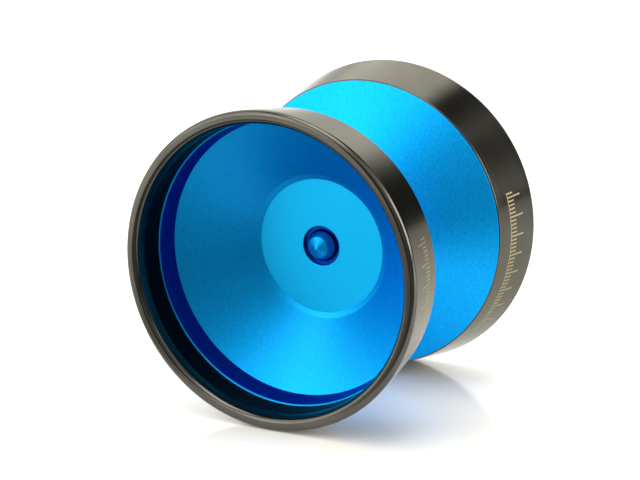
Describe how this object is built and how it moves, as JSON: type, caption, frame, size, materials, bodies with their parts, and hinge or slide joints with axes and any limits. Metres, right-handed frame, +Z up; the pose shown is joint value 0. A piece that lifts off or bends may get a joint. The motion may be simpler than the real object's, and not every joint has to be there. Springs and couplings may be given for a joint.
{
  "type": "bi-metal yo-yo",
  "caption": "Wide V-shaped unresponsive yo-yo: blue aluminium halves with dark steel rim rings, screwed together over a ball bearing.",
  "frame": {"origin": "the middle of the bearing, on the spin axis, halfway between the two halves", "axes": "+Y along the spin axis towards the back half, +Z up as the yo-yo lies on its two rims, front half at -Y"},
  "size_m": [0.054, 0.0474, 0.054],
  "materials": {
    "anodised_aluminium": "bead-blasted and anodised bright blue",
    "gunmetal_steel": "fine-turned stainless steel with a dark gunmetal coat",
    "silicone": "matte white silicone",
    "axle_steel": "black oxide",
    "race_steel": "ground",
    "ball_steel": "polished",
    "retainer_brass": "tumbled",
    "shield_steel": "rolled sheet",
    "spring_steel": "bright drawn"
  },
  "bodies": {
    "front_side": {"front_half": "anodised_aluminium", "front_rim": "gunmetal_steel", "front_response_pad": "silicone", "axle_screw": "axle_steel"},
    "bearing_inner": {"bearing_inner_race": "race_steel"},
    "back_side": {"back_half": "anodised_aluminium", "back_rim": "gunmetal_steel", "back_response_pad": "silicone"},
    "bearing_outer": {"bearing_outer_race": "race_steel", "back_bearing_shield": "shield_steel", "front_bearing_shield": "shield_steel", "back_snap_ring": "spring_steel", "front_snap_ring": "spring_steel"},
    "retainer": {"ball_retainer": "retainer_brass"},
    "ball_1": {"bearing_ball_1": "ball_steel"},
    "ball_2": {"bearing_ball_2": "ball_steel"},
    "ball_3": {"bearing_ball_3": "ball_steel"},
    "ball_4": {"bearing_ball_4": "ball_steel"},
    "ball_5": {"bearing_ball_5": "ball_steel"},
    "ball_6": {"bearing_ball_6": "ball_steel"},
    "ball_7": {"bearing_ball_7": "ball_steel"},
    "ball_8": {"bearing_ball_8": "ball_steel"}
  },
  "joints": [
    {"name": "back_half_travel", "type": "slide", "parent": "front_side", "child": "bearing_inner", "axis": [0, 1, 0], "range_m": [0, 0.0035]},
    {"name": "back_half_turn", "type": "hinge", "parent": "bearing_inner", "child": "back_side", "pos_m": [0, 0, 0], "axis": [0, 1, 0], "range_deg": [0, 1800]},
    {"name": "bearing_spin", "type": "hinge", "parent": "bearing_inner", "child": "bearing_outer", "pos_m": [0, 0, 0], "axis": [0, 1, 0], "continuous": true},
    {"name": "retainer_orbit", "type": "hinge", "parent": "bearing_inner", "child": "retainer", "pos_m": [0, 0, 0], "axis": [0, 1, 0], "continuous": true},
    {"name": "ball_1_roll", "type": "hinge", "parent": "retainer", "child": "ball_1", "pos_m": [0, 0, 0.00476], "axis": [0, 1, 0], "continuous": true},
    {"name": "ball_2_roll", "type": "hinge", "parent": "retainer", "child": "ball_2", "pos_m": [0.00337, 0, 0.00337], "axis": [0, 1, 0], "continuous": true},
    {"name": "ball_3_roll", "type": "hinge", "parent": "retainer", "child": "ball_3", "pos_m": [0.00476, 0, 0], "axis": [0, 1, 0], "continuous": true},
    {"name": "ball_4_roll", "type": "hinge", "parent": "retainer", "child": "ball_4", "pos_m": [0.00337, 0, -0.00337], "axis": [0, 1, 0], "continuous": true},
    {"name": "ball_5_roll", "type": "hinge", "parent": "retainer", "child": "ball_5", "pos_m": [0, 0, -0.00476], "axis": [0, 1, 0], "continuous": true},
    {"name": "ball_6_roll", "type": "hinge", "parent": "retainer", "child": "ball_6", "pos_m": [-0.00337, 0, -0.00337], "axis": [0, 1, 0], "continuous": true},
    {"name": "ball_7_roll", "type": "hinge", "parent": "retainer", "child": "ball_7", "pos_m": [-0.00476, 0, 0], "axis": [0, 1, 0], "continuous": true},
    {"name": "ball_8_roll", "type": "hinge", "parent": "retainer", "child": "ball_8", "pos_m": [-0.00337, 0, 0.00337], "axis": [0, 1, 0], "continuous": true}
  ],
  "couplings": [
    {"joint": "back_half_travel", "follows": "back_half_turn", "m_per_rad": 0.00011141},
    {"joint": "retainer_orbit", "follows": "bearing_spin", "ratio": 0.60415},
    {"joint": "ball_1_roll", "follows": "bearing_spin", "ratio": 2.2963},
    {"joint": "ball_2_roll", "follows": "bearing_spin", "ratio": 2.2963},
    {"joint": "ball_3_roll", "follows": "bearing_spin", "ratio": 2.2963},
    {"joint": "ball_4_roll", "follows": "bearing_spin", "ratio": 2.2963},
    {"joint": "ball_5_roll", "follows": "bearing_spin", "ratio": 2.2963},
    {"joint": "ball_6_roll", "follows": "bearing_spin", "ratio": 2.2963},
    {"joint": "ball_7_roll", "follows": "bearing_spin", "ratio": 2.2963},
    {"joint": "ball_8_roll", "follows": "bearing_spin", "ratio": 2.2963}
  ]
}
